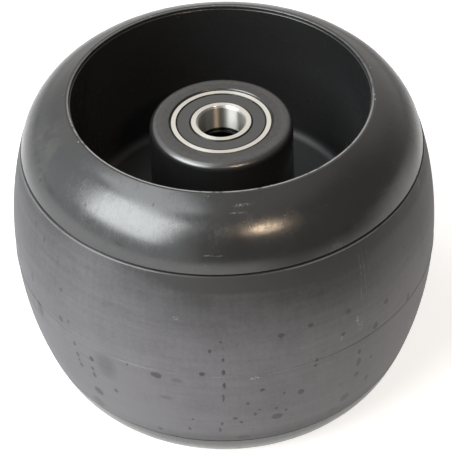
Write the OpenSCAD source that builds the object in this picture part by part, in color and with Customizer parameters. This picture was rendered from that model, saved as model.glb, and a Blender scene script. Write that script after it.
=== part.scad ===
// Barrel-shaped wheel that carries the edge of a mower deck over the ground.
// It stands on one rim, with its axis along Z and its centre at the origin.
// A moulded core with a deep cup at each end carries a rubber tread band and two sealed ball bearings,
// and a spacer tube keeps the bearings' inner races apart when the axle bolt is tightened.

/* [Wheel] */
// Diameter over the crown of the tread
tread_d = 150; // [144:1:160]
// Width over the two rims
wheel_w = 117.5; // [112:0.5:124]
// Width of the tread band from seam to seam
tread_w = 79; // [70:1:86]
// How far the crown of the tread stands out beyond its edges, on the radius
tread_crown = 5.85; // [4:0.05:8]
// Thickness of the tread band at its edges
tread_t = 7.15; // [5:0.05:9]
// How far the tread band stands proud of the shoulders at the seams
tread_proud = 0.3; // [0:0.05:0.8]
// Radius that rounds both sides of each seam
seam_r = 0.6; // [0.3:0.1:1.2]
// Height of the mould's parting line around the crown
parting_h = 0.15; // [0.05:0.05:0.3]
// Radius of the parting line's rounded top
parting_r = 0.5; // [0.4:0.1:1]
// Radius of the rounded shoulders
shoulder_r = 24.9; // [20:0.1:32]

/* [Cups] */
// Diameter of each cup's mouth
mouth_d = 101.6; // [96:0.2:106]
// Width of the flat land that the wheel stands on
rim_land_w = 1.25; // [0.8:0.05:2]
// Depth of the step just inside the mouth
rim_step_h = 1.1; // [0.6:0.1:2]
// Width of the step just inside the mouth
rim_step_w = 0.45; // [0.35:0.05:1]
// Radius on the edges of the land and the step
rim_edge_r = 0.25; // [0.1:0.05:0.3]
// Draft of the cups' walls, in degrees
cup_draft = 1.3; // [0.5:0.1:3]
// Thickness of the web between the two cups
web_t = 14; // [8:0.5:20]
// Radius between the web and the cups' walls
cup_fillet_r = 3.5; // [2:0.5:8]
// Radius between the web and the hub
hub_fillet_r = 3; // [2:0.5:8]

/* [Hub] */
// How far each bearing's face lies below the rim
bearing_drop = 12.6; // [9:0.1:17]
// How far each bearing's face lies below the end of the hub
bearing_recess = 0.4; // [0:0.1:2]
// Wall of the hub around each bearing
hub_wall = 7; // [5:0.5:9]
// Draft of the hub's side, in degrees
hub_draft = 1.4; // [0.5:0.1:3]
// Radius around the end of the hub
hub_edge_r = 2.5; // [1:0.1:4]
// Chamfer at the mouth of each bearing seat
seat_chamfer = 0.4; // [0.2:0.1:1]
// Width of the ledge that stops each bearing
seat_ledge = 2.4; // [1.5:0.1:2.8]

/* [Bearings] */
// Outside diameter of each bearing
bearing_od = 35; // [34:0.1:37]
// Bore of each bearing, for a 5/8 inch axle bolt
bearing_bore = 15.875; // [15:0.005:16.5]
// Width of each bearing
bearing_w = 11; // [10.5:0.1:13]
// Diameter of the balls
ball_d = 5.953; // [5.5:0.001:6.2]
// Number of balls in each bearing
ball_count = 8; // [6:1:8]
// Radial play between a ball and each race
ball_play = 0.05; // [0.02:0.01:0.08]
// Groove radius as a share of the ball's diameter
groove_fit = 0.52; // [0.515:0.005:0.54]
// Gap between the two races at their lands
land_gap = 3.5; // [3:0.1:4]
// Chamfer on the outer race's outside edges
outer_chamfer = 0.4; // [0.2:0.1:0.8]
// Chamfer at the ends of the inner race's bore
bore_chamfer = 0.7; // [0.3:0.1:1]
// Thickness of the outer race beside its seals
outer_rim_t = 1.95; // [1.7:0.05:2.2]
// Thickness of the inner race beside its seals
inner_rim_t = 2.55; // [2.3:0.01:2.7]

/* [Cages] */
// Thickness of the pressed sheet
cage_t = 0.6; // [0.4:0.05:0.7]
// Width of the pressed ribbon across the race gap
cage_w = 2.2; // [1.8:0.1:2.4]
// Play around each ball in its pocket
pocket_play = 0.1; // [0.05:0.01:0.15]
// Diameter of the rivets' shanks
rivet_d = 0.8; // [0.6:0.1:1]
// Diameter of the rivets' heads
rivet_head_d = 1.4; // [1.2:0.1:1.6]
// Height of the rivets' heads
rivet_head_h = 0.4; // [0.3:0.05:0.6]
// Play of the rivets in their holes
rivet_play = 0.02; // [0.01:0.01:0.05]

/* [Seals] */
// Thickness of each seal
seal_t = 0.9; // [0.7:0.05:1]
// How far each seal's face lies below the races' faces
seal_recess = 0.2; // [0.1:0.05:0.3]
// Depth of the race's seal seat behind its face
seal_seat_h = 1.35; // [1.3:0.05:1.6]
// Running gap between a seal's lip and the inner race
lip_gap = 0.06; // [0.03:0.01:0.1]
// Height of the seal's bead, which snaps into the outer race
bead_h = 0.45; // [0.3:0.05:0.5]
// Depth of the groove that holds the bead
bead_groove = 0.25; // [0.15:0.05:0.4]
// Play around the bead in its groove
bead_play = 0.05; // [0.02:0.01:0.08]
// Width of the dished ring between the seal's flat face and its bead
seal_rim_w = 0.5; // [0.3:0.05:0.8]

/* [Spacer] */
// Play of the axle bolt in the spacer tube, on the radius
spacer_play = 0.25; // [0.1:0.05:0.5]
// Wall of the spacer tube
spacer_wall = 2.05; // [1.2:0.05:2.2]
// Chamfer at the ends of the spacer tube
spacer_chamfer = 0.4; // [0.2:0.1:0.6]

/* [Hidden] */
$fn = 96;
margin = 0.5; // how far a cut runs past its face
crossing = 0.001; // how far an arc runs past its edges, so that it meets them at a clean point
ENDS = [["top", 1], ["bottom", -1]];
SIDES = [["outer", 1], ["inner", -1]];
BALLS = [for (end = ENDS, i = [1:ball_count]) str("ball_", end[0], "_", i)];
PAIRED = [for (end = ENDS, part = ["outer_race_", "inner_race_", "seal_outer_", "seal_inner_",
                                   "cage_outer_", "cage_inner_", "cage_rivets_"]) str(part, end[0])];

tread_r = tread_d / 2;
tread_edge_r = tread_r - tread_crown;
tread_seat_r = tread_edge_r - tread_t;
seam_z = tread_w / 2;
rim_z = wheel_w / 2;
mouth_r = mouth_d / 2;
web_z = web_t / 2;

// Crown of the tread: one arc through both edges and the widest point
crown_r = (pow(tread_crown, 2) + pow(seam_z, 2)) / (2 * tread_crown);
crown_x = tread_r - crown_r;

// Shoulder: an arc of shoulder_r from the edge of the seam to the edge of the land
shoulder_edge_r = tread_edge_r - tread_proud;
land_edge_r = mouth_r + rim_land_w;
shoulder_chord = [land_edge_r - shoulder_edge_r, rim_z - seam_z];
shoulder_half = norm(shoulder_chord) / 2;
shoulder_drop = sqrt(pow(shoulder_r, 2) - pow(shoulder_half, 2));
shoulder_lean = shoulder_drop / (2 * shoulder_half);
shoulder_c = [shoulder_edge_r + shoulder_chord[0] / 2 - shoulder_lean * shoulder_chord[1],
              seam_z + shoulder_chord[1] / 2 + shoulder_lean * shoulder_chord[0]];

// Cup wall, which leans out towards the mouth, and the hub's side, which leans in towards its end
step_z = rim_z - rim_step_h;
cup_top_r = mouth_r - rim_step_w;
function cup_r(z) = cup_top_r - (step_z - z) * tan(cup_draft);
bearing_face_z = rim_z - bearing_drop;
hub_z = bearing_face_z + bearing_recess;
hub_end_r = bearing_od / 2 + hub_wall;
function hub_r(z) = hub_end_r + (hub_z - z) * tan(hub_draft);

bearing_r = bearing_od / 2;
bore_r = bearing_bore / 2;
bearing_z = bearing_face_z - bearing_w / 2;
seat_z = bearing_face_z - bearing_w;
through_r = bearing_r - seat_ledge;

// Races and balls
race_z = bearing_w / 2;
pitch_r = (bearing_r + bore_r) / 2;
ball_r = ball_d / 2;
groove_r = ball_d * groove_fit;
groove_shift = ball_r + ball_play - groove_r;
outer_land_r = pitch_r + land_gap / 2;
inner_land_r = pitch_r - land_gap / 2;
outer_rim_r = bearing_r - outer_rim_t;
inner_rim_r = bore_r + inner_rim_t;

// Seals
lip_r = inner_rim_r + lip_gap;
bead_r = outer_rim_r + bead_groove - bead_play;
seal_z = race_z - seal_recess;
lip_h = seal_t / 3;

// Cages
pocket_r = ball_r + pocket_play;

// Spacer tube
spacer_in_r = bore_r + spacer_play;
spacer_out_r = spacer_in_r + spacer_wall;

CORE = [0.12, 0.12, 0.12];
RUBBER = [0.2, 0.2, 0.19];
STEEL = [0.78, 0.78, 0.76];
SEAL = [0.25, 0.25, 0.25];

// Mirrored halves: a closed outline from the points of its upper half, in order from the axis outwards
function flip(p) = [p[0], -p[1]];
function both(points) = concat([for (p = points) flip(p)], [for (i = [len(points) - 1:-1:0]) points[i]]);
// An arc in a corner is [its centre, its radius, the way to one edge, the way to the other],
// counter-clockwise
function both_arcs(arcs) = concat(arcs, [for (k = arcs) [flip(k[0]), k[1], flip(k[3]), flip(k[2])]]);

// What lies between an arc and the corner that it rounds
module corner(k) {
    reach = k[1] + margin;
    difference() {
        polygon([k[0], k[0] + reach * k[2], k[0] + reach * (k[2] + k[3]) / (1 + k[2] * k[3]),
                 k[0] + reach * k[3]]);
        translate(k[0]) circle(k[1] + crossing);
    }
}

module rounded(arcs) {
    difference() {
        children();
        for (k = arcs) corner(k);
    }
}

module filleted(arcs) {
    children();
    for (k = arcs) corner(k);
}

// The core's outline with sharp corners
module core_outline() {
    intersection() {
        polygon(both([[through_r, seat_z], [bearing_r, seat_z], [bearing_r, hub_z - seat_chamfer],
                      [bearing_r + seat_chamfer, hub_z], [hub_end_r, hub_z], [hub_r(web_z), web_z],
                      [cup_r(web_z), web_z], [cup_top_r, step_z], [mouth_r, step_z], [mouth_r, rim_z],
                      [tread_r, rim_z], [tread_r, seam_z], [tread_seat_r, seam_z]]));
        union() {
            for (c = [shoulder_c, flip(shoulder_c)]) translate(c) circle(shoulder_r, $fn = 180);
            translate([0, -seam_z - margin]) square([tread_seat_r + margin, 2 * (seam_z + margin)]);
            translate([0, -rim_z - margin]) square([mouth_r + rim_land_w / 2, 2 * (rim_z + margin)]);
        }
    }
}

module wheel_core() {
    up = [0, 1];
    to_wall = [cos(cup_draft), -sin(cup_draft)];
    from_hub = [cos(hub_draft), sin(hub_draft)];
    hub_edge_z = hub_z - hub_edge_r;
    hub_edge = [[hub_r(hub_edge_z) - hub_edge_r / from_hub[0], hub_edge_z], hub_edge_r, from_hub, up];
    step_edge_z = step_z - rim_edge_r;
    step_edge = [[cup_r(step_edge_z) + rim_edge_r / to_wall[0], step_edge_z], rim_edge_r, up, -to_wall];
    mouth_edge = [[mouth_r + rim_edge_r, rim_z - rim_edge_r], rim_edge_r, up, [-1, 0]];
    seam_rise = seam_z + seam_r - shoulder_c[1];
    to_seam = [sqrt(pow(shoulder_r - seam_r, 2) - pow(seam_rise, 2)), seam_rise];
    seam_edge = [shoulder_c + to_seam, seam_r, -up, to_seam / norm(to_seam)];
    wall_root_z = web_z + cup_fillet_r;
    wall_root = [[cup_r(wall_root_z) - cup_fillet_r / to_wall[0], wall_root_z], cup_fillet_r, -up, to_wall];
    hub_root_z = web_z + hub_fillet_r;
    hub_root = [[hub_r(hub_root_z) + hub_fillet_r / from_hub[0], hub_root_z], hub_fillet_r, -from_hub, -up];
    color(CORE) rotate_extrude()
        filleted(both_arcs([wall_root, hub_root]))
            rounded(both_arcs([hub_edge, step_edge, mouth_edge, seam_edge]))
                core_outline();
}

module tread_band() {
    edge_z = seam_z - seam_r;
    to_edge = [sqrt(pow(crown_r - seam_r, 2) - pow(edge_z, 2)), edge_z];
    edge = [[crown_x + to_edge[0], edge_z], seam_r, to_edge / norm(to_edge), [0, 1]];
    color(RUBBER) rotate_extrude() {
        rounded(both_arcs([edge])) intersection() {
            translate([crown_x, 0]) circle(crown_r, $fn = 720);
            polygon(both([[tread_seat_r, seam_z], [tread_r + margin, seam_z]]));
        }
        intersection() {
            translate([tread_r + parting_h - parting_r, 0]) circle(parting_r);
            translate([tread_r - margin, -margin]) square(2 * margin);
        }
    }
}

module spacer_tube() {
    color(STEEL) rotate_extrude()
        polygon(both([[spacer_in_r, seat_z - spacer_chamfer], [spacer_in_r + spacer_chamfer, seat_z],
                      [spacer_out_r - spacer_chamfer, seat_z], [spacer_out_r, seat_z - spacer_chamfer]]));
}

// Puts a bearing's part at one end of the wheel, its outer side facing out
module at_end(end) {
    translate([0, 0, end * bearing_z]) mirror([0, 0, end < 0 ? 1 : 0]) children();
}

// Turns a part of a bearing to face into the hub
module on_side(side) {
    mirror([0, 0, side < 0 ? 1 : 0]) children();
}

module outer_race() {
    bead_z = seal_z - seal_t;
    color(STEEL) rotate_extrude() difference() {
        polygon(both([[outer_land_r, race_z - seal_seat_h], [outer_rim_r, race_z - seal_seat_h],
                      [outer_rim_r, bead_z - bead_play], [outer_rim_r + bead_groove, bead_z - bead_play],
                      [outer_rim_r + bead_groove, bead_z + bead_h + bead_play],
                      [outer_rim_r, bead_z + bead_h + bead_play], [outer_rim_r, race_z],
                      [bearing_r - outer_chamfer, race_z], [bearing_r, race_z - outer_chamfer]]));
        translate([pitch_r + groove_shift, 0]) circle(groove_r);
    }
}

module inner_race() {
    color(STEEL) rotate_extrude() difference() {
        polygon(both([[bore_r, race_z - bore_chamfer], [bore_r + bore_chamfer, race_z], [inner_rim_r, race_z],
                      [inner_rim_r, race_z - seal_seat_h], [inner_land_r, race_z - seal_seat_h]]));
        translate([pitch_r - groove_shift, 0]) circle(groove_r);
    }
}

// Ring of rubber on sheet metal: a bead in the outer race, a flat face, and a lip beside the inner race
module seal() {
    color(SEAL) rotate_extrude()
        polygon([[lip_r, seal_z - seal_t + lip_h], [lip_r, seal_z - lip_h], [lip_r + lip_h, seal_z],
                 [outer_rim_r - seal_rim_w, seal_z], [outer_rim_r - seal_rim_w, seal_z - seal_t + bead_h],
                 [bead_r, seal_z - seal_t + bead_h], [bead_r, seal_z - seal_t],
                 [lip_r + lip_h, seal_z - seal_t]]);
}

module ball(i) {
    color(STEEL) rotate(i * 360 / ball_count) translate([pitch_r, 0, 0]) sphere(ball_r);
}

// One pressed half of the riveted cage: flat lands joined by a round pocket over each ball
module cage_half() {
    half_w = cage_w / 2;
    top = pocket_r + cage_t;
    color(STEEL) difference() {
        intersection() {
            difference() {
                cylinder(r = pitch_r + half_w, h = top);
                translate([0, 0, -margin]) cylinder(r = pitch_r - half_w, h = top + 2 * margin);
            }
            union() {
                cylinder(r = bearing_r, h = cage_t);
                for (i = [1:ball_count])
                    rotate(i * 360 / ball_count) translate([pitch_r, 0, 0]) sphere(top);
            }
        }
        for (i = [1:ball_count]) {
            rotate(i * 360 / ball_count) translate([pitch_r, 0, 0]) sphere(pocket_r);
            rotate((i + 0.5) * 360 / ball_count) translate([pitch_r, 0, -margin])
                cylinder(r = rivet_d / 2 + rivet_play, h = cage_t + 2 * margin, $fn = 32);
        }
    }
}

// A rivet through each pair of lands, headed on both sides
module cage_rivets() {
    color(STEEL) for (i = [1:ball_count])
        rotate((i + 0.5) * 360 / ball_count) translate([pitch_r, 0, 0]) {
            cylinder(r = rivet_d / 2, h = 2 * cage_t, center = true, $fn = 32);
            for (side = [0, 1]) mirror([0, 0, side]) translate([0, 0, cage_t])
                cylinder(r1 = rivet_head_d / 2, r2 = rivet_d / 2, h = rivet_head_h, $fn = 32);
        }
}

wheel_core();
tread_band();
spacer_tube();
for (end = ENDS) {
    at_end(end[1]) outer_race();
    at_end(end[1]) inner_race();
    for (side = SIDES) {
        at_end(end[1]) on_side(side[1]) seal();
        at_end(end[1]) on_side(side[1]) cage_half();
    }
    at_end(end[1]) cage_rivets();
    for (i = [1:ball_count])
        at_end(end[1]) ball(i);
}
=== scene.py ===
"""Looks of a barrel-shaped deck wheel: the finish of each CAD node, the stage, the lights and the camera.

Finishes are laid out in millimetres on Object coordinates: height along the axis, distance from it, and the
way round from the front, which faces -Y.
"""

import math

import bmesh
import bpy
from mathutils import Matrix, Vector


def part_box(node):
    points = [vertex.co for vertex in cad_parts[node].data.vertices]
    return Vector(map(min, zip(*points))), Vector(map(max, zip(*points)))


bl_info = {
    "name": "Deck Wheel Looks",
    "version": (1, 0, 0),
    "blender": (4, 5, 0),
    "location": "3D View > Sidebar > Wheel",
    "description": "Finishes a barrel-shaped deck wheel and sets up its stage",
    "category": "Object",
}

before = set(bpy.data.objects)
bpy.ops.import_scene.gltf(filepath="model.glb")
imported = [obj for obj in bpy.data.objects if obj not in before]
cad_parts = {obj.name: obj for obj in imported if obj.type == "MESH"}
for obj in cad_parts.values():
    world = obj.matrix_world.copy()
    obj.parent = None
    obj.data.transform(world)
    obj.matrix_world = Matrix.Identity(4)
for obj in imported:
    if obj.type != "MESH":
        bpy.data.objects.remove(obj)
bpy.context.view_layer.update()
MM = 0.001
ENDS = ("top", "bottom")


def high_corner(node):
    """The highest corner of a node's box, in millimetres."""
    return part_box(node)[1] / MM


# The wheel's radii and heights in millimetres. The middle of the wheel has the height 0.
CROWN_R = high_corner("tread_band").x
SEAM_Z = high_corner("tread_band").z
SHOULDER_R = 56.0
MOUTH_R = 50.8
RIM_Z = high_corner("wheel_core").z
WEB_Z = 7.0
BEARING_R = high_corner("outer_race_top").x
BEARING_TOP = high_corner("outer_race_top").z
HUB_R = BEARING_R + 7.0
HUB_TOP = BEARING_TOP + 0.4
SEAL_R = BEARING_R - 1.95
INNER_RIM_R = 10.5
SPACER_R = 10.0
BORE_R = 7.94

# The photo's width in pixels, and how far its camera's middle lies from the picture's
PHOTO = 452
PHOTO_SHIFT = (1.63, -4.65)

# The lamps' distance from the wheel in metres, and for each its way round from the front and its height in
# degrees, its size in metres, its brightness and its colour
LAMP_DISTANCE = 1.2
LAMPS = {
    "window": (-57, 37, (0.92, 0.80), 9.0, (0.96, 0.99, 1.0)),
    "left_panel": (-85, 68, (0.80, 0.55), 3.8, (0.93, 0.97, 1.0)),
    "warm_lamp": (24, 43, (0.19, 0.09), 62.0, (1.0, 0.77, 0.53)),
}


class Value:
    """A value in a shader, on which the usual arithmetic adds Math nodes."""

    def __init__(self, shader, socket):
        self.shader = shader
        self.socket = socket

    def math(self, operation, *others):
        """A Math node on this value."""
        return self.shader.math(operation, self, *others)

    def __add__(self, other):
        return self.math("ADD", other)

    def __radd__(self, other):
        return self.shader.math("ADD", other, self)

    def __sub__(self, other):
        return self.math("SUBTRACT", other)

    def __rsub__(self, other):
        return self.shader.math("SUBTRACT", other, self)

    def __mul__(self, other):
        return self.math("MULTIPLY", other)

    def __rmul__(self, other):
        return self.shader.math("MULTIPLY", other, self)

    def __neg__(self):
        return self.math("MULTIPLY", -1.0)


class Shader:
    """One node tree, with short ways to add its nodes."""

    def __init__(self, owner):
        owner.use_nodes = True
        self.owner = owner
        self.tree = owner.node_tree
        self.tree.nodes.clear()

    def node(self, kind, settings=None, inputs=None, output=0):
        """Adds a node: its settings first, then the values or links of its sockets."""
        made = self.tree.nodes.new(kind)
        for name, setting in (settings or {}).items():
            setattr(made, name, setting)
        for name, value in (inputs or {}).items():
            if isinstance(value, Value):
                self.tree.links.new(value.socket, made.inputs[name])
            else:
                made.inputs[name].default_value = value
        return Value(self, made.outputs[output]) if made.outputs else made

    def math(self, operation, *values):
        """A Math node on numbers and values."""
        return self.node("ShaderNodeMath", {"operation": operation}, dict(enumerate(values)))

    def vector(self, operation, *values, output=0):
        """A Vector Math node on places and directions."""
        return self.node("ShaderNodeVectorMath", {"operation": operation}, dict(enumerate(values)), output)

    def split(self, vector):
        """The three numbers of a vector."""
        return (self.node("ShaderNodeSeparateXYZ", None, {0: vector}, number) for number in range(3))

    def step(self, value, low, high):
        """0 below low and 1 above high, with a smooth rise between. Where low is the higher, it falls."""
        return self.node("ShaderNodeMapRange", {"interpolation_type": "SMOOTHSTEP"},
                         {"Value": value, "From Min": low, "From Max": high, "To Min": 0.0, "To Max": 1.0})

    def band(self, value, centre, half, soft):
        """1 within half of centre, falling to 0 over the soft distance."""
        return self.step((value - centre).math("ABSOLUTE"), half + soft, half)

    def mix(self, factor, first, second):
        """A colour between two others. Sockets 6, 7 and 2 are those for colours."""
        return self.node("ShaderNodeMix", {"data_type": "RGBA"}, {0: factor, 6: first, 7: second}, 2)

    def noise(self, place, size, detail=2.0, rough=0.5, stretch=(1.0, 1.0, 1.0)):
        """Noise of about that size in millimetres, stretched by a share along each axis."""
        scale = [1.0 / (size * way) for way in stretch]
        scaled = self.vector("MULTIPLY", place, scale)
        return self.node("ShaderNodeTexNoise", None,
                         {"Vector": scaled, "Scale": 1.0, "Detail": detail, "Roughness": rough})

    def specks(self, place, spacing, radius, share):
        """Round specks at about that spacing, on a share of the cells."""
        settings = {"feature": "F1", "distance": "EUCLIDEAN"}
        inputs = {"Vector": place, "Scale": 1.0 / spacing, "Randomness": 1.0}
        distance = self.node("ShaderNodeTexVoronoi", settings, inputs)
        cell = self.node("ShaderNodeTexVoronoi", settings, inputs, "Color")
        lot = self.node("ShaderNodeSeparateColor", None, {"Color": cell})
        reach = radius / spacing
        return self.step(distance, reach, 0.6 * reach) * self.step(lot, share + 0.01, share)

    def nearest(self, flat, radius, spots):
        """Distance to the nearest of some oval spots, where 1 is a spot's edge.
        The flat place is the surface rolled out at that radius. A spot is its degrees round from the front,
        its height and its half sizes, in millimetres."""
        least = None
        for degrees, up, half_wide, half_high in spots:
            along = math.radians(degrees) * radius
            scale = (1 / half_wide, 1 / half_high, 0)
            shift = (-along / half_wide, -up / half_high, 0)
            moved = self.vector("MULTIPLY_ADD", flat, scale, shift)
            far = self.vector("LENGTH", moved, output="Value")
            least = far if least is None else least.math("MINIMUM", far)
        return least

    def bump(self, height, distance=1.0):
        """A Bump node whose height is in millimetres times distance."""
        return self.node("ShaderNodeBump", None, {"Height": height, "Distance": distance * MM})

    def finish(self, **inputs):
        """The Principled shader and the output. A name's underscores stand for its spaces."""
        named = {name.replace("_", " "): value for name, value in inputs.items()}
        surface = self.node("ShaderNodeBsdfPrincipled", None, named)
        self.node("ShaderNodeOutputMaterial", None, {"Surface": surface})


class Surface(Shader):
    """A material on a turned part, with what its finish is laid out on. In millimetres, up is the height
    above or below the middle and out the distance from the axis. In radians, way is the way round from the
    front, turn the same whichever side it is on, and side the way round that eases to 0 behind."""

    def __init__(self, name):
        super().__init__(bpy.data.materials.new(name))
        place = self.node("ShaderNodeTexCoord", output="Object")
        self.place = self.node("ShaderNodeMapping", None, {"Vector": place, "Scale": [1 / MM] * 3})
        x, y, self.z = self.split(self.place)
        self.up = self.z.math("ABSOLUTE")
        self.out = (x * x + y * y).math("SQRT")
        self.way = x.math("ARCTAN2", -y)
        self.turn = self.way.math("ABSOLUTE")
        # Behind, the way round jumps by a whole turn, so what reads it fades out before that
        self.side = self.way * self.angle_step(self.turn, 160, 100)
        self.joined = self.angle_step(self.turn, 179, 168)

    def angle_step(self, angle, low, high):
        """A step between two angles given in degrees."""
        return self.step(angle, math.radians(low), math.radians(high))

    def sector(self, centre, half, soft):
        """1 within half of the centre's way round, falling to 0 over the soft angle, in degrees."""
        return self.band(self.way, math.radians(centre), math.radians(half), math.radians(soft))

    def flat(self, radius):
        """The surface rolled out flat: the way round in millimetres at that radius, and the height."""
        return self.node("ShaderNodeCombineXYZ", None, {"X": self.way * radius, "Y": self.z, "Z": 0.0})

    def streaks(self, radius, wide, high, detail=2.0, rough=0.6):
        """Upright streaks of about that width and height in millimetres, which fade behind."""
        lines = self.noise(self.flat(radius), wide, detail, rough, (1.0, high / wide, 1.0))
        return 0.5 + (lines - 0.5) * self.joined

    def rings(self, size):
        """Noise that changes outwards and upwards only, as turning leaves it."""
        across = self.node("ShaderNodeCombineXYZ", None, {"X": self.out, "Y": self.z, "Z": 0.0})
        return self.noise(across, size)


def grey(level, warm=0.0):
    """A linear grey, warmer or cooler by a share."""
    return (level * (1 + warm), level, level * (1 - warm), 1.0)


def shaded(colour, share):
    """A colour times a share, darker below 1 and lighter above it."""
    return [share * channel for channel in colour[:3]] + [1.0]


def assign(material, *names):
    """Gives CAD nodes a material on all their slots."""
    for name in names:
        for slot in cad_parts[name].material_slots:
            slot.material = material


def assign_both(material, *parts):
    """Gives a material to the same parts of both bearings."""
    assign(material, *(f"{part}_{end}" for part in parts for end in ENDS))


class CoreFinish(bpy.types.PropertyGroup):
    """The moulded core"""

    plastic: bpy.props.FloatVectorProperty(
        name="Plastic", description="Colour of the shoulders and cups", subtype="COLOR", size=4,
        min=0.0, max=1.0, default=(0.013, 0.013, 0.0135, 1.0))
    face: bpy.props.FloatVectorProperty(
        name="Hub Face", description="Colour of the matt end of the hub", subtype="COLOR", size=4,
        min=0.0, max=1.0, default=(0.029, 0.0282, 0.0280, 1.0))
    dust: bpy.props.FloatVectorProperty(
        name="Dust", description="Colour of dust, nicks and scuffs", subtype="COLOR", size=4,
        min=0.0, max=1.0, default=(0.30, 0.30, 0.30, 1.0))
    gloss: bpy.props.FloatProperty(
        name="Shoulder Roughness", description="Roughness of the shoulders where they are clean",
        subtype="FACTOR", min=0.0, max=1.0, default=0.17)


class TreadFinish(bpy.types.PropertyGroup):
    """The rubber tread band"""

    rubber: bpy.props.FloatVectorProperty(
        name="Rubber", description="Colour where the rubber has no bloom", subtype="COLOR", size=4,
        min=0.0, max=1.0, default=(0.014, 0.0133, 0.0135, 1.0))
    bloom: bpy.props.FloatVectorProperty(
        name="Bloom", description="Colour of the dull bloom on the rubber", subtype="COLOR", size=4,
        min=0.0, max=1.0, default=(0.118, 0.1145, 0.1245, 1.0))
    mark: bpy.props.FloatVectorProperty(
        name="Marks", description="Colour of the dark marks", subtype="COLOR", size=4,
        min=0.0, max=1.0, default=(0.017, 0.0165, 0.017, 1.0))


class BearingFinish(bpy.types.PropertyGroup):
    """The bearings and the spacer"""

    ground: bpy.props.FloatVectorProperty(
        name="Ground Steel", description="Colour of the races", subtype="COLOR", size=4,
        min=0.0, max=1.0, default=(0.90, 0.88, 0.83, 1.0))
    pressed: bpy.props.FloatVectorProperty(
        name="Pressed Steel", description="Colour of the cages and rivets", subtype="COLOR", size=4,
        min=0.0, max=1.0, default=(0.60, 0.58, 0.54, 1.0))
    blackened: bpy.props.FloatVectorProperty(
        name="Blackened Steel", description="Colour of the spacer tube", subtype="COLOR", size=4,
        min=0.0, max=1.0, default=(0.016, 0.016, 0.017, 1.0))
    seal: bpy.props.FloatVectorProperty(
        name="Seal", description="Colour of the seals", subtype="COLOR", size=4,
        min=0.0, max=1.0, default=(0.062, 0.061, 0.060, 1.0))


class StageSetup(bpy.types.PropertyGroup):
    """The floor, the lights and the camera"""

    distance: bpy.props.FloatProperty(
        name="Camera Distance", description="From the camera to the middle of the wheel", unit="LENGTH",
        min=0.2, max=2.0, default=0.532)
    height: bpy.props.FloatProperty(
        name="Camera Height", description="Angle of the camera above the horizon", subtype="ANGLE",
        min=0.0, max=math.radians(89), default=math.radians(42.25))
    roll: bpy.props.FloatProperty(
        name="Camera Roll", description="Turn of the camera about its line of sight", subtype="ANGLE",
        min=-1.0, max=1.0, default=math.radians(-1.88))
    lens: bpy.props.FloatProperty(
        name="Lens", description="Focal length on a 36 mm sensor", unit="CAMERA", min=20.0, max=300.0,
        default=117.2)
    floor: bpy.props.FloatVectorProperty(
        name="Floor", description="Colour of the floor", subtype="COLOR", size=4,
        min=0.0, max=1.0, default=(0.70, 0.70, 0.70, 1.0))


# Marks on the front of the upper shoulder: degrees round, height and half sizes in millimetres
SCUFFS = ((5.7, 57.1, 4.2, 0.30), (4.2, 55.9, 3.4, 0.20), (-3.3, 46.2, 3.2, 0.30), (29.6, 53.6, 0.22, 0.22),
          (31.2, 53.2, 0.22, 0.22), (-5.2, 43.1, 0.3, 0.3), (18.0, 53.9, 0.3, 0.3), (17.6, 52.8, 0.25, 0.25))
SCARS = ((-39.0, 48.2, 1.0, 0.6), (-28.4, 44.9, 2.3, 0.40), (-64.1, 47.1, 0.5, 0.8), (-22.3, 56.2, 0.3, 0.4),
         (-43.4, 50.9, 0.4, 0.4), (-40.5, 47.2, 0.9, 0.4))
FILMS = ((-73.0, 53.8, 9.0, 4.4), (-65.0, 48.6, 6.0, 2.4), (28.5, 41.3, 4.2, 1.4))


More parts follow.
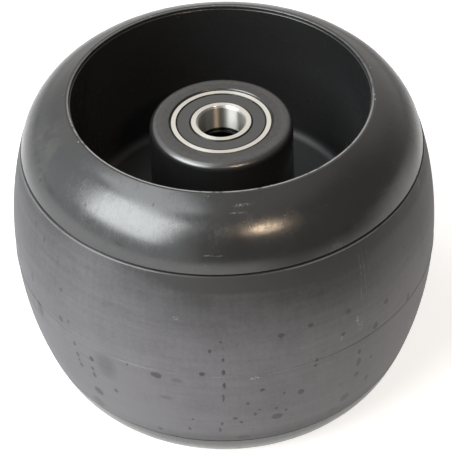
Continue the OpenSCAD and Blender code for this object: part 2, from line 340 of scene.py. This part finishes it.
class CoreOperator(bpy.types.Operator):
    """Finish the moulded core: glossy shoulders, matt hub ends and dark cups, with painted shade along the
    seam and round the bearings
    """

    bl_idname = "wheel.finish_core"
    bl_label = "Finish Core"

    def execute(self, context):
        look = context.scene.wheel_core
        m = Surface("core_plastic")
        clouds = m.noise(m.place, 16.0, 3.0, 0.6)
        smears = m.noise(m.place, 5.0, 4.0, 0.65, (1.0, 1.0, 1.8))
        mottles = m.noise(m.place, 1.6, 3.0, 0.6)
        grain = m.noise(m.place, 0.5, 2.0)
        scratches = m.streaks(SHOULDER_R, 0.245, 7.0)

        # The shoulders, the hub's end faces and their edges, and painted shade in the gaps round the bearings
        outside = m.step(m.out, MOUTH_R + 0.6, MOUTH_R + 1.4)
        hub = m.step(m.out, HUB_R + 5.5, HUB_R + 0.5)
        face = m.step(m.up, HUB_TOP - 0.25, HUB_TOP - 0.08) * hub
        edge = m.band(m.up, HUB_TOP - 1.2, 0.9, 0.5) * hub * m.step(m.out, BEARING_R + 2.5, BEARING_R + 3.5)
        seat = m.step(m.up, BEARING_TOP - 16.15, BEARING_TOP - 6.15)
        # Painted shade: near black in the gap round the outer race, up the seat
        painted_gap_shade = m.step(m.out, BEARING_R + 0.60, BEARING_R + 0.45) * seat
        gap = m.step(m.out, BEARING_R + 0.18, BEARING_R + 0.08) * seat

        # Painted shade along the seam's groove, fainter left of the middle and wider at the far left
        seam = m.band(m.up, SEAM_Z + 0.15, 0.32, 0.30) * outside
        thin = m.sector(-37, 10, 26)
        left = m.angle_step(m.side, -40, -60)
        wide = m.band(m.up, SEAM_Z + 0.40, 0.55, 0.30) * left * outside
        seam = (seam * (1 - 0.55 * thin)).math("MAXIMUM", 0.9 * wide)

        # Wear and a painted highlight on the mouth's lip, brightest at the front, nicks beside it, and the
        # shoulder's own marks
        lip = m.band(m.out, MOUTH_R + 0.3, 0.22, 0.18) * m.step(m.up, RIM_Z - 0.6, RIM_Z - 0.2)
        # The painted highlight: the lip is paler towards the front
        front_highlight = m.angle_step(m.turn, 115, 40)
        worn = (0.20 + 0.62 * front_highlight) * lip * m.step(smears, 0.25, 0.5)
        nicks = m.specks(m.place, 1.6, 0.3, 0.12) * m.band(m.out, MOUTH_R + 1.1, 0.7, 0.4)
        nicks = nicks * m.step(m.up, RIM_Z - 1.15, RIM_Z - 0.35)
        dust = m.specks(m.place, 5.0, 0.16, 0.3) * outside
        rolled = m.flat(SHOULDER_R)
        scuffs = m.step(m.nearest(rolled, SHOULDER_R, SCUFFS), 1.0, 0.5) * m.step(grain, 0.46, 0.62)
        scars = m.step(m.nearest(rolled, SHOULDER_R, SCARS), 1.1, 0.7) * m.step(mottles, 0.40, 0.50)
        films = m.step(m.nearest(rolled, SHOULDER_R, FILMS), 1.5, 0.1) * m.step(smears, 0.30, 0.66)
        scuffs, scars, films = 0.32 * scuffs * outside, scars * outside, films * outside
        # Pale: real dust, nicks, scuffs and lip wear, with the lip's painted highlight
        pale = dust.math("MAXIMUM", nicks).math("MAXIMUM", scuffs).math("MAXIMUM", worn)
        # Dark: the painted shade along the seam, and real scars
        seam_shade_and_scars = seam.math("MAXIMUM", 0.42 * scars)

        speckle = m.step(0.5 * mottles + 0.5 * grain, 0.38, 0.62)
        speckled = m.mix(speckle, shaded(look.face, 0.65), shaded(look.face, 1.4))
        colour = m.mix(face, look.plastic, speckled)
        colour = m.mix(0.15 * films, colour, grey(0.16, 0.13))
        # Near black: painted shade in the bearing gap and along the seam, and real scars
        colour = m.mix(painted_gap_shade.math("MAXIMUM", 0.9 * seam_shade_and_scars), colour, grey(0.003))
        colour = m.mix(pale, colour, look.dust)

        # Roughness of the shoulders, of the cups, which are dull at the bottom, and of the hub and the marks
        hazy = 0.06 * m.step(clouds, 0.36, 0.72) + 0.06 * m.step(smears, 0.38, 0.75)
        hazy = hazy + 0.05 * m.step(mottles, 0.40, 0.75)
        brushed = 0.3 + 0.7 * m.sector(-28, 14, 14)
        rough = look.gloss + hazy + 0.08 * brushed * m.step(scratches, 0.46, 0.76)
        cup = 0.22 + 0.10 * clouds + 0.30 * m.step(m.up, WEB_Z + 9.0, WEB_Z + 3.0)
        rough = rough * outside + (1 - outside) * cup + 0.03 * edge
        rough = rough * (1 - face) + face * (0.46 + 0.12 * mottles)
        rough = rough * (1 - painted_gap_shade) + 0.28 * painted_gap_shade
        rough = (rough + 0.10 * films).math("MAXIMUM", 0.9 * seam_shade_and_scars).math("MAXIMUM", 0.8 * gap)

        height = grain * (0.004 + 0.010 * face) + scratches * brushed * 0.0022 * outside + mottles * 0.006
        # Metallic on the seam's painted shade and the scars takes their gloss away
        m.finish(Base_Color=colour, Roughness=rough, Metallic=0.8 * seam_shade_and_scars, Specular_IOR_Level=0.8,
                 Coat_Weight=0.8 * edge, Coat_Roughness=0.28, Normal=m.bump(height))
        assign(m.owner, "wheel_core")
        return {"FINISHED"}


# Marks on the front of the tread: degrees round, height and half sizes in millimetres
DARK = ((-58.6, -1.9, 1.9, 3.3), (-48.1, 4.1, 0.9, 1.3), (-43, -8.9, 0.7, 0.9), (-42.9, -11.5, 0.6, 0.8),
        (-42.4, -14, 0.9, 1.1), (-37.9, -6.7, 0.9, 1.2), (-38.2, -11.9, 0.6, 0.8), (-38.1, -15.2, 0.8, 1.5),
        (-38.3, -25.1, 1.9, 2.2), (-40.6, -34.4, 2.6, 2.6), (-31.5, -18.6, 0.6, 1), (-26.5, -1.1, 0.4, 0.6),
        (-43.6, -3.9, 0.6, 1), (-47.5, 17.4, 0.5, 0.7), (-45.1, 5.3, 0.5, 0.6), (-1.8, 15.5, 0.4, 0.5),
        (-4.7, 11.7, 0.5, 0.8), (-1.4, 7.9, 0.5, 0.8), (-6.8, 1.2, 0.9, 0.9), (-1.4, 2.1, 0.5, 1.3),
        (-18.7, -2.3, 1.8, 1.3), (-1.3, -4.3, 0.5, 1.4), (-1.7, -10.9, 0.4, 2), (8.2, -8, 0.9, 0.8),
        (4.6, -14.7, 0.6, 0.7), (7.6, -19, 0.5, 0.6), (6.4, -21.4, 0.6, 1), (1.2, -23.1, 0.9, 0.8),
        (2.8, -25.7, 0.6, 0.8), (-10.1, -24.3, 0.4, 0.6), (-11.4, -31.1, 0.6, 1), (-2.3, -26.4, 0.5, 1),
        (-3, -30.7, 0.6, 1.4), (-20.3, -35.4, 1, 1.2), (3.4, -36.9, 2.3, 1.5), (-16.2, -38.9, 1.5, 0.9),
        (13.2, 15.7, 1.1, 0.8), (30.1, 7.6, 0.8, 0.8), (22.5, 0.7, 0.4, 0.8), (22.3, -2.1, 0.7, 0.6),
        (35.6, -5.2, 0.6, 1.2), (35.7, -10.8, 1.0, 2.1), (35.7, -17.5, 1.0, 1.4), (40.4, -24.6, 1, 1.6),
        (14, -11.9, 0.6, 0.7), (18.5, -13.5, 1.1, 1.4), (12, -19.6, 0.6, 0.8), (14.7, -22, 0.6, 0.8),
        (12.5, -25.1, 1.9, 1.7), (33.2, -29.1, 1.8, 2.2), (30.2, -35, 1.8, 2), (19.8, -37.1, 1.2, 1.5),
        (53.8, 25.2, 0.8, 0.7), (55, 18.9, 0.6, 0.7), (27.2, 28.8, 0.5, 0.6), (31.8, 16.3, 1, 0.9),
        (21, 16.8, 0.9, 0.7), (40.8, 2.6, 1.1, 1.5), (44.8, 10.1, 1.1, 1.1), (54.9, 1.9, 0.9, 1.5),
        (40.4, -12.6, 0.6, 0.9), (-60.9, 32.9, 1.2, 1.4), (-55.8, 31.1, 0.8, 1.0), (-61.5, 9.9, 0.9, 2.2),
        (54.4, 32.9, 0.6, 0.8))
FAINT = ((-13.4, -3.1, 2.1, 1.2), (-16.6, -13.3, 2.6, 1.1), (2.2, 13.9, 0.5, 0.8), (-61.6, 0.8, 1.3, 2),
         (26.8, -0.7, 0.8, 0.6), (30.5, -18.2, 0.8, 1.1), (6, -31.8, 0.8, 0.8), (27.8, 23.7, 0.7, 0.6),
         (-33.2, -6.4, 4.5, 6.5), (-1.4, 13, 0.4, 0.8), (-61, 19.4, 0.9, 2.0), (64, 18, 2.6, 9.0))
CHAFED = ((34.6, 10.4, 0.9, 2.6), (35.6, 7.2, 1.3, 2.6), (29.7, 5.8, 0.6, 1.2), (6.3, -1.6, 2.6, 1.0),
          (18.7, 8.5, 0.4, 1.0), (-13.0, 24.0, 1.2, 1.0))
SCRATCHES = ((36.8, 30.0, 0.16, 9.0), (37.9, 27.0, 0.16, 11.0), (36.2, 22.0, 0.16, 8.0),
             (39.6, 31.0, 0.16, 6.0))


class TreadOperator(bpy.types.Operator):
    """Finish the tread band: dull bloom with painted light and shade, dark marks, scuffs and the parting line
    """

    bl_idname = "wheel.finish_tread"
    bl_label = "Finish Tread"

    def execute(self, context):
        look = context.scene.wheel_tread
        m = Surface("tread_rubber")
        ragged = m.noise(m.place, 1.6, 2.0)
        clouds = m.noise(m.place, 28.0, 3.0, 0.55)
        patches = m.noise(m.place, 9.0, 3.0, 0.6)
        streaks = m.streaks(CROWN_R, 1.5, 18.0, 3.0)
        grain = m.noise(m.place, 0.45, 2.0)
        bands = m.noise(m.vector("MULTIPLY", m.place, (0.05, 0.05, 1.0)), 2.6, 3.0, 0.6)
        flat = m.flat(CROWN_R)
        warp = m.node("ShaderNodeCombineXYZ", None, {"X": ragged - 0.5, "Y": 0.5 - ragged, "Z": 0.0})
        wavy = m.vector("ADD", flat, warp)
        line = m.band(m.z, 0.0, 0.08, 0.14)

        # Dark marks: those of the front and drops behind, a painted shadow on the parting line at the right
        # and painted shade along the lower seam
        marks = m.step(m.nearest(wavy, CROWN_R, DARK), 1.25, 0.80) * (0.70 + 0.5 * patches)
        faint = m.step(m.nearest(wavy, CROWN_R, FAINT), 1.3, 0.3)
        behind = m.angle_step(m.turn, 62, 75)
        warped = m.vector("MULTIPLY", m.vector("ADD", m.place, warp), (1.0, 1.0, 0.7))
        drops = m.specks(warped, 9.0, 2.0, 0.45) * behind
        # Painted shadow on the parting line at the right
        parting_line_shadow = line * m.angle_step(m.side, 18, 40)
        # Painted shade along the lower seam
        lower_seam_shade = m.step(m.z, 0.9 - SEAM_Z, 0.3 - SEAM_Z)
        marks = marks.math("MAXIMUM", drops).math("MAXIMUM", 0.42 * faint)
        marks = marks.math("MAXIMUM", 0.6 * parting_line_shadow).math("MAXIMUM", 0.8 * lower_seam_shade)

        # Bloom: more of it lower down, with painted light and shade mixed in
        level = m.step(m.z, 42.0, -6.0)
        # Painted shade on the upper part, at the front and right
        shade = m.step(m.z, 4.0, 34.0) * m.angle_step(m.side, -42, -6)
        # A painted shadow below the upper seam, darker at the front and right
        under = m.step(m.up, SEAM_Z - 8.0, SEAM_Z - 1.0)
        under = under * (0.12 + 0.30 * m.angle_step(m.side, -36, -2))
        # Painted light and shade by the way round: lighter front left and at the right, darker front right
        # and at the far left
        painted_side_light_and_shade = 0.10 * m.sector(-27, 8, 14)
        painted_side_light_and_shade = painted_side_light_and_shade - 0.11 * m.sector(23, 10, 12)
        painted_side_light_and_shade = painted_side_light_and_shade + 0.12 * m.angle_step(m.side, 40, 56)
        painted_side_light_and_shade = painted_side_light_and_shade - 0.16 * m.angle_step(m.side, -38, -62)
        uneven = 0.46 * patches + 0.30 * ragged + 0.22 * streaks + 0.44 * grain + 0.44 * bands - 0.93
        uneven = uneven * (1 - 0.45 * shade) + 0.40 * (clouds - 0.5)
        # Real bloom plus the painted light and shade above
        bloom = 0.45 + 0.41 * level - 0.36 * shade - under + painted_side_light_and_shade + uneven
        bloom = bloom.math("MINIMUM", 1.0).math("MAXIMUM", 0.0)

        # Pale wear: chafed spots, scratches and specks, and painted highlights on the parting line in the
        # middle and on the upper seam's edge
        chafed = m.step(m.nearest(wavy, CROWN_R, CHAFED), 1.0, 0.3) * m.step(grain, 0.50, 0.62)
        scratched = m.step(m.nearest(flat, CROWN_R, SCRATCHES), 1.0, 0.5) * m.step(ragged, 0.35, 0.6)
        # Painted highlight on the parting line at the left and front
        parting_line_highlight = line * m.step(clouds, 0.42, 0.56) * m.angle_step(m.side, 24, 4)
        # Painted highlight on the upper seam's edge, away from the front
        edge = m.band(m.z, SEAM_Z - 0.25, 0.05, 0.16) * m.step(patches, 0.2, 0.5)
        edge = edge * m.angle_step(m.turn, 5, 26)
        pale = (0.8 * chafed).math("MAXIMUM", 0.20 * scratched)
        pale = pale.math("MAXIMUM", 0.28 * parting_line_highlight).math("MAXIMUM", 0.30 * edge)
        pale = pale.math("MAXIMUM", 0.6 * m.specks(m.place, 7.0, 0.2, 0.25))

        colour = m.mix(marks, m.mix(bloom, look.rubber, look.bloom), look.mark)
        colour = m.mix(pale, colour, grey(0.34))
        rough = 0.55 + 0.14 * (patches - 0.5) + 0.10 * (ragged - 0.5) - 0.10 * marks
        height = grain * 0.012 + ragged * 0.014 + streaks * 0.006
        m.finish(Base_Color=colour, Roughness=rough, Specular_IOR_Level=0.5, Normal=m.bump(height))
        assign(m.owner, "tread_band")
        return {"FINISHED"}


class RaceOperator(bpy.types.Operator):
    """Finish the bearing races: ground steel with fine turning rings, and painted shade in their gaps and
    bore
    """

    bl_idname = "wheel.finish_races"
    bl_label = "Finish Races"

    def execute(self, context):
        look = context.scene.wheel_bearing
        m = Surface("race_steel")
        rings = m.rings(0.12)
        clouds = m.noise(m.place, 3.0, 3.0)
        colour = m.mix(0.5 * rings + 0.3 * clouds, look.ground, shaded(look.ground, 0.85))

        # Painted shade in the outer race's edge, at the inner race's rim and down the bore, darkest at its
        # far end, and a little on the worn bevel above it
        bore = m.step(m.out, BORE_R + 0.25, BORE_R + 0.05)
        bevel = m.step(m.out, BORE_R + 1.06, BORE_R + 0.86) * (1 - bore)
        bevel = bevel * m.step(m.up, BEARING_TOP - 0.03, BEARING_TOP - 0.12)
        # Painted shade down the bore, darkest at its far end
        bore_shade = bore * (0.54 + 0.46 * m.step(m.up, BEARING_TOP - 8.75, BEARING_TOP - 9.25))
        # Painted shade in the gaps at the outer race's edge and the inner race's rim
        recess_shade = m.step(m.out, BEARING_R - 0.45, BEARING_R - 0.39)
        recess_shade = 0.9 * recess_shade.math("MAXIMUM", m.band(m.out, INNER_RIM_R, 0.2, 0.1))
        recess_shade = recess_shade.math("MAXIMUM", bore_shade + 0.22 * bevel)
        colour = m.mix(recess_shade, colour, grey(0.012))

        worn = (0.32 * bore).math("MAXIMUM", 0.46 * bevel).math("MAXIMUM", 0.45 * recess_shade * (1 - bore))
        rough = 0.15 + 0.06 * clouds + 0.03 * rings + worn
        m.finish(Base_Color=colour, Metallic=1.0, Roughness=rough, Anisotropic=1.0, Anisotropic_Rotation=0.25,
                 Normal=m.bump(rings, 0.003))
        assign_both(m.owner, "outer_race", "inner_race")
        return {"FINISHED"}


class SealOperator(bpy.types.Operator):
    """Finish the seals: matt moulded rubber with faint rings, and painted shade in the gaps at both sides"""

    bl_idname = "wheel.finish_seals"
    bl_label = "Finish Seals"

    def execute(self, context):
        look = context.scene.wheel_bearing
        m = Surface("seal_rubber")
        rings = m.rings(0.5)
        grain = m.noise(m.place, 0.3, 3.0)
        # Painted shade in the gaps beside the seal, at the inner race and the outer race
        inner_gap_shade = m.step(m.out, INNER_RIM_R + 0.65, INNER_RIM_R + 0.25)
        edges = inner_gap_shade.math("MAXIMUM", m.step(m.out, SEAL_R - 0.75, SEAL_R - 0.5))
        colour = m.mix(0.35 * rings + 0.35 * grain, look.seal, shaded(look.seal, 0.72))
        colour = m.mix(0.92 * edges, colour, grey(0.006))
        m.finish(Base_Color=colour, Roughness=0.55 + 0.15 * grain, Normal=m.bump(grain, 0.010))
        assign_both(m.owner, "seal_outer", "seal_inner")
        return {"FINISHED"}


class CageOperator(bpy.types.Operator):
    """Finish the cages, rivets and balls"""

    bl_idname = "wheel.finish_cages"
    bl_label = "Finish Cages"

    def execute(self, context):
        look = context.scene.wheel_bearing
        m = Surface("cage_steel")
        clouds = m.noise(m.place, 1.2, 3.0)
        grain = m.noise(m.place, 0.15, 2.0)
        colour = m.mix(clouds, look.pressed, shaded(look.pressed, 0.7))
        m.finish(Base_Color=colour, Metallic=1.0, Roughness=0.30 + 0.2 * clouds, Normal=m.bump(grain, 0.004))
        assign_both(m.owner, "cage_outer", "cage_inner", "cage_rivets")
        m = Surface("ball_steel")
        film = m.noise(m.place, 2.0, 3.0)
        colour = m.mix(film, grey(0.85, 0.02), grey(0.70, 0.04))
        m.finish(Base_Color=colour, Metallic=1.0, Roughness=0.07 + 0.08 * film)
        assign(m.owner, *(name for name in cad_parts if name.startswith("ball_")))
        return {"FINISHED"}


class SpacerOperator(bpy.types.Operator):
    """Finish the spacer tube: blackened steel with fine lines along it"""

    bl_idname = "wheel.finish_spacer"
    bl_label = "Finish Spacer"

    def execute(self, context):
        look = context.scene.wheel_bearing
        m = Surface("spacer_steel")
        lines = m.streaks(SPACER_R, 0.3, 12.0, rough=0.5)
        clouds = m.noise(m.place, 4.0, 3.0)
        colour = m.mix(0.5 * lines + 0.4 * clouds, look.blackened, shaded(look.blackened, 0.6))
        m.finish(Base_Color=colour, Metallic=1.0, Roughness=0.42 + 0.15 * clouds, Normal=m.bump(lines, 0.006))
        assign(m.owner, "spacer_tube")
        return {"FINISHED"}


def toward(way, height, distance):
    """The point that far from the middle, at degrees round from the front and degrees up."""
    way, height = math.radians(way), math.radians(height)
    return distance * Vector((math.sin(way) * math.cos(height), -math.cos(way) * math.cos(height),
                              math.sin(height)))


def seen_by(shader, *rays):
    """1 for the kinds of ray named, such as Camera."""
    seen = None
    for ray in rays:
        found = shader.node("ShaderNodeLightPath", output=f"Is {ray} Ray")
        seen = found if seen is None else seen.math("MAXIMUM", found)
    return seen


def lay_floor(colour):
    """A round white floor under the wheel, which keeps its shadow. In gloss only, its far part carries
    painted shade towards some sides and a painted pool of light at the front left, where the wheel reflects
    the room."""
    mesh = bpy.data.meshes.new("floor")
    drawn = bmesh.new()
    below = Matrix.Translation((0, 0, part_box("wheel_core")[0].z))
    bmesh.ops.create_circle(drawn, cap_ends=True, segments=128, radius=6.0, matrix=below)
    drawn.to_mesh(mesh)
    drawn.free()
    floor = bpy.data.objects.new("floor", mesh)
    bpy.context.scene.collection.objects.link(floor)
    m = Shader(bpy.data.materials.new("floor_white"))
    place = m.node("ShaderNodeTexCoord", output="Object")
    side = m.vector("NORMALIZE", m.vector("MULTIPLY", place, (1.0, 1.0, 0.0)))
    far = seen_by(m, "Glossy") * m.step(m.vector("LENGTH", place, output="Value"), 0.22, 0.45)

    def towards(way, least, most):
        """The far floor at degrees round from the front, between two cosines of the angle from there."""
        cosine = m.vector("DOT_PRODUCT", side, tuple(toward(way, 0, 1)), output="Value")
        return far * m.step(cosine, least, most)

    # Painted shade on the far floor behind and at the front right, and a painted pool of light at the front
    # left, in gloss only
    painted_floor_shade = 0.60 * towards(140, 0.80, 0.97) + 0.35 * towards(-132, 0.75, 0.97)
    painted_floor_shade = painted_floor_shade.math("MAXIMUM", towards(50, 0.74, 0.98))
    bright = towards(-45, 0.60, 1.0)
    lit = m.node("ShaderNodeBsdfDiffuse", None, {"Color": m.mix(painted_floor_shade, colour, shaded(colour, 0.45))})
    strength = 0.45 * seen_by(m, "Camera", "Glossy", "Transmission") * (1 - 0.9 * painted_floor_shade)
    strength = strength + 0.22 * seen_by(m, "Camera") + 0.35 * bright
    glow = m.node("ShaderNodeEmission", None, {"Color": grey(1.0), "Strength": strength})
    both = m.node("ShaderNodeAddShader", None, {0: lit, 1: glow})
    m.node("ShaderNodeOutputMaterial", None, {"Surface": both})
    mesh.materials.append(m.owner)


def light_world():
    """A white backdrop for the camera, a room for gloss, and a soft grey ceiling that lights the wheel."""
    world = bpy.data.worlds.new("studio")
    bpy.context.scene.world = world
    w = Shader(world)
    across, back, height = w.split(w.node("ShaderNodeTexCoord", output="Generated"))
    left = w.step(across, -0.05, -0.50)

    # The room's walls in gloss: a pale back, a bright left side, and other shares of both lower down
    low = w.step(height, 0.62, 0.36)
    pale = w.step(back, 0.10, 1.08)
    beside = 1.10 * left * (1 - 0.8 * pale)
    beside_low = left * (1.15 * w.step(back, 0.95, 0.30) + 0.30 * w.step(back, 0.80, 1.0))
    beside = beside + low * (beside_low - beside)
    pale = pale + low * (0.5 + 0.5 * left) * (w.step(back, 0.45, 1.10) - pale)
    walls = 0.22 + 0.80 * pale + beside
    ceiling = w.step(height, 0.75, 0.97)
    shiny = walls * (1 - ceiling) + 0.6 * ceiling

    # What lights matt surfaces, and the white that the camera sees
    soft = 0.42 * (1 - 0.5 * w.step(height, 0.10, 0.50)) * (1 - 0.5 * w.step(back, -0.25, -0.85))
    soft = soft * (1 + 0.4 * w.step(across, 0.0, 0.7))
    camera = seen_by(w, "Camera")
    gloss = seen_by(w, "Glossy", "Transmission")
    strength = camera + (1 - camera) * (gloss * shiny + (1 - gloss) * soft)
    tint = w.mix(left * (1 - 0.8 * pale), (1.0, 0.965, 0.91, 1.0), (0.95, 0.98, 1.0, 1.0))
    tint = w.mix(camera, tint, grey(1.0))
    room = w.node("ShaderNodeBackground", None, {"Color": tint, "Strength": strength})
    w.node("ShaderNodeOutputWorld", None, {"Surface": room})


def hang_lamp(name, way, height, size, radiance, colour):
    """A soft lamp that faces the wheel. Its brightness is that of its own surface."""
    light = bpy.data.lights.new(name, "AREA")
    light.shape = "RECTANGLE"
    light.size, light.size_y = size
    light.energy = radiance * math.pi * size[0] * size[1]
    light.color = colour
    lamp = bpy.data.objects.new(name, light)
    lamp.location = toward(way, height, LAMP_DISTANCE)
    lamp.rotation_euler = (-lamp.location).to_track_quat("-Z", "Y").to_euler()
    bpy.context.scene.collection.objects.link(lamp)


class StageOperator(bpy.types.Operator):
    """Lay the floor, light the wheel and place the camera"""

    bl_idname = "wheel.set_stage"
    bl_label = "Set Stage"

    def execute(self, context):
        stage = context.scene.wheel_stage
        lay_floor(stage.floor)
        light_world()
        for name, lamp in LAMPS.items():
            hang_lamp(name, *lamp)
        camera = bpy.data.objects.new("camera", bpy.data.cameras.new("camera"))
        camera.data.lens = stage.lens
        camera.data.sensor_width = 36.0
        camera.data.shift_x, camera.data.shift_y = (pixels / PHOTO for pixels in PHOTO_SHIFT)
        camera.location = toward(0, math.degrees(stage.height), stage.distance)
        look = (-camera.location).to_track_quat("-Z", "Y").to_matrix()
        camera.rotation_euler = (look @ Matrix.Rotation(stage.roll, 3, "Z")).to_euler()
        context.scene.collection.objects.link(camera)
        context.scene.camera = camera
        context.scene.view_settings.view_transform = "Standard"
        return {"FINISHED"}


class WheelPanel(bpy.types.Panel):
    """The steps and the sizes and colours that they use"""

    bl_idname = "VIEW3D_PT_wheel"
    bl_label = "Wheel"
    bl_space_type = "VIEW_3D"
    bl_region_type = "UI"
    bl_category = "Wheel"

    def draw(self, context):
        for operator in OPERATORS:
            self.layout.operator(operator.bl_idname)
        for name, group in GROUPS.items():
            box = self.layout.box()
            for prop in group.__annotations__:
                box.prop(getattr(context.scene, name), prop)


GROUPS = {"wheel_core": CoreFinish, "wheel_tread": TreadFinish, "wheel_bearing": BearingFinish,
          "wheel_stage": StageSetup}
OPERATORS = (CoreOperator, TreadOperator, RaceOperator, SealOperator, CageOperator, SpacerOperator,
             StageOperator)


def register():
    for made in (*GROUPS.values(), *OPERATORS, WheelPanel):
        bpy.utils.register_class(made)
    for name, group in GROUPS.items():
        setattr(bpy.types.Scene, name, bpy.props.PointerProperty(type=group))


def unregister():
    for name in GROUPS:
        delattr(bpy.types.Scene, name)
    for made in (WheelPanel, *reversed(OPERATORS), *reversed(GROUPS.values())):
        bpy.utils.unregister_class(made)


def main():
    """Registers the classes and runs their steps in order."""
    register()
    for operator in OPERATORS:
        group, name = operator.bl_idname.split(".")
        getattr(getattr(bpy.ops, group), name)()


if __name__ == "__main__":
    main()
